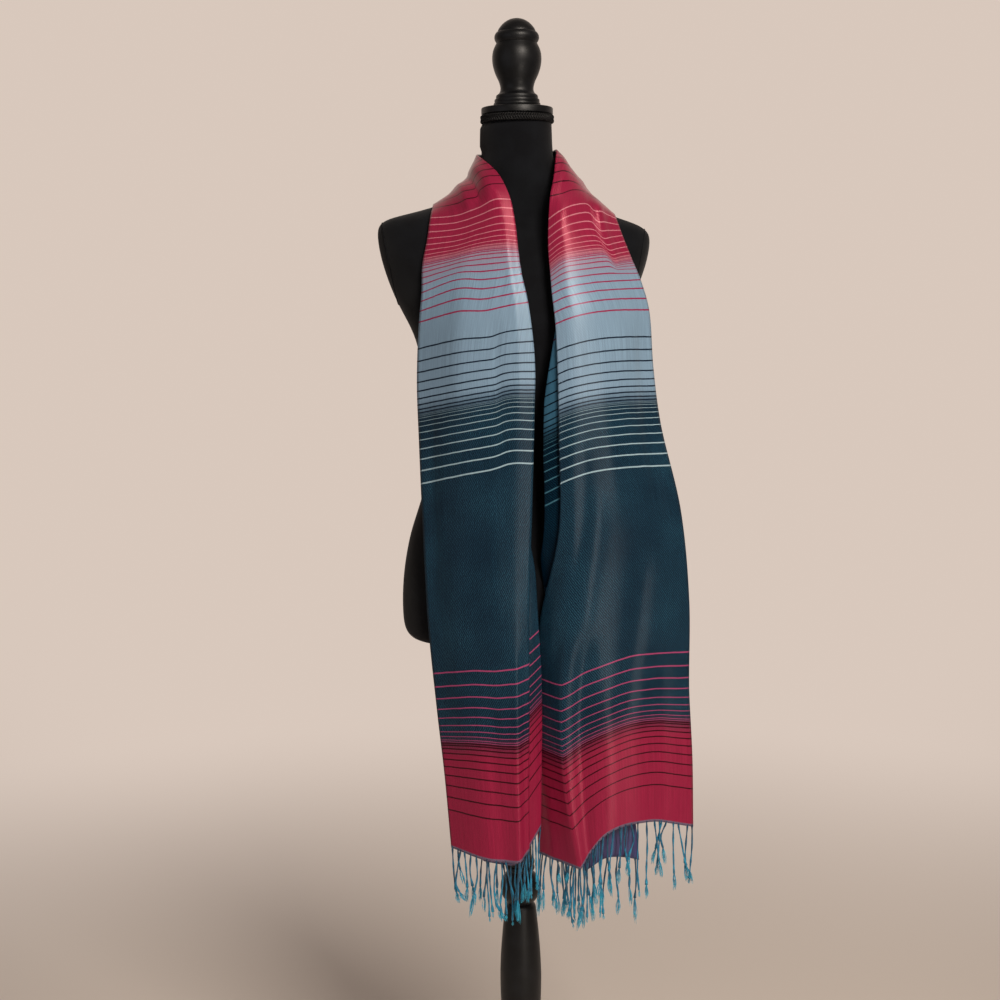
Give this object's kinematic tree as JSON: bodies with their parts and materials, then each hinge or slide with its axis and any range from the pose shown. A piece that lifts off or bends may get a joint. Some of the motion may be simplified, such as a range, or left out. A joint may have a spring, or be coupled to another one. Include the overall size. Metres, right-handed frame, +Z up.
{
  "type": "scarf draped on a limbless dress form and stand",
  "caption": "Long cross-striped scarf with twisted fringe, folded lengthwise and hung round the neck of a black dress form on a turned stand with curved legs.",
  "frame": {"origin": "on the floor, on the axis of the stand's pole, which is the middle of the whole object's footprint", "axes": "+Z up along the pole to the finial, -Y towards the front of the form where both ends of the scarf hang, +X towards the scarf's wider end"},
  "size_m": [0.4707, 0.422, 1.63],
  "materials": {
    "scarf_cloth": "satin",
    "fringe_yarn": "matte",
    "form_jersey": "matte",
    "braid": "matte",
    "painted_wood": "satin"
  },
  "bodies": {
    "root": {"scarf_fall_left": "scarf_cloth", "scarf_neck": "scarf_cloth", "scarf_fall_right": "scarf_cloth", "fringe_left": "fringe_yarn", "fringe_right": "fringe_yarn", "form_torso": "form_jersey", "neck_tape": "braid", "neck_cap": "painted_wood", "finial": "painted_wood", "pole": "painted_wood", "leg_1": "painted_wood", "leg_2": "painted_wood", "leg_3": "painted_wood"}
  },
  "joints": []
}
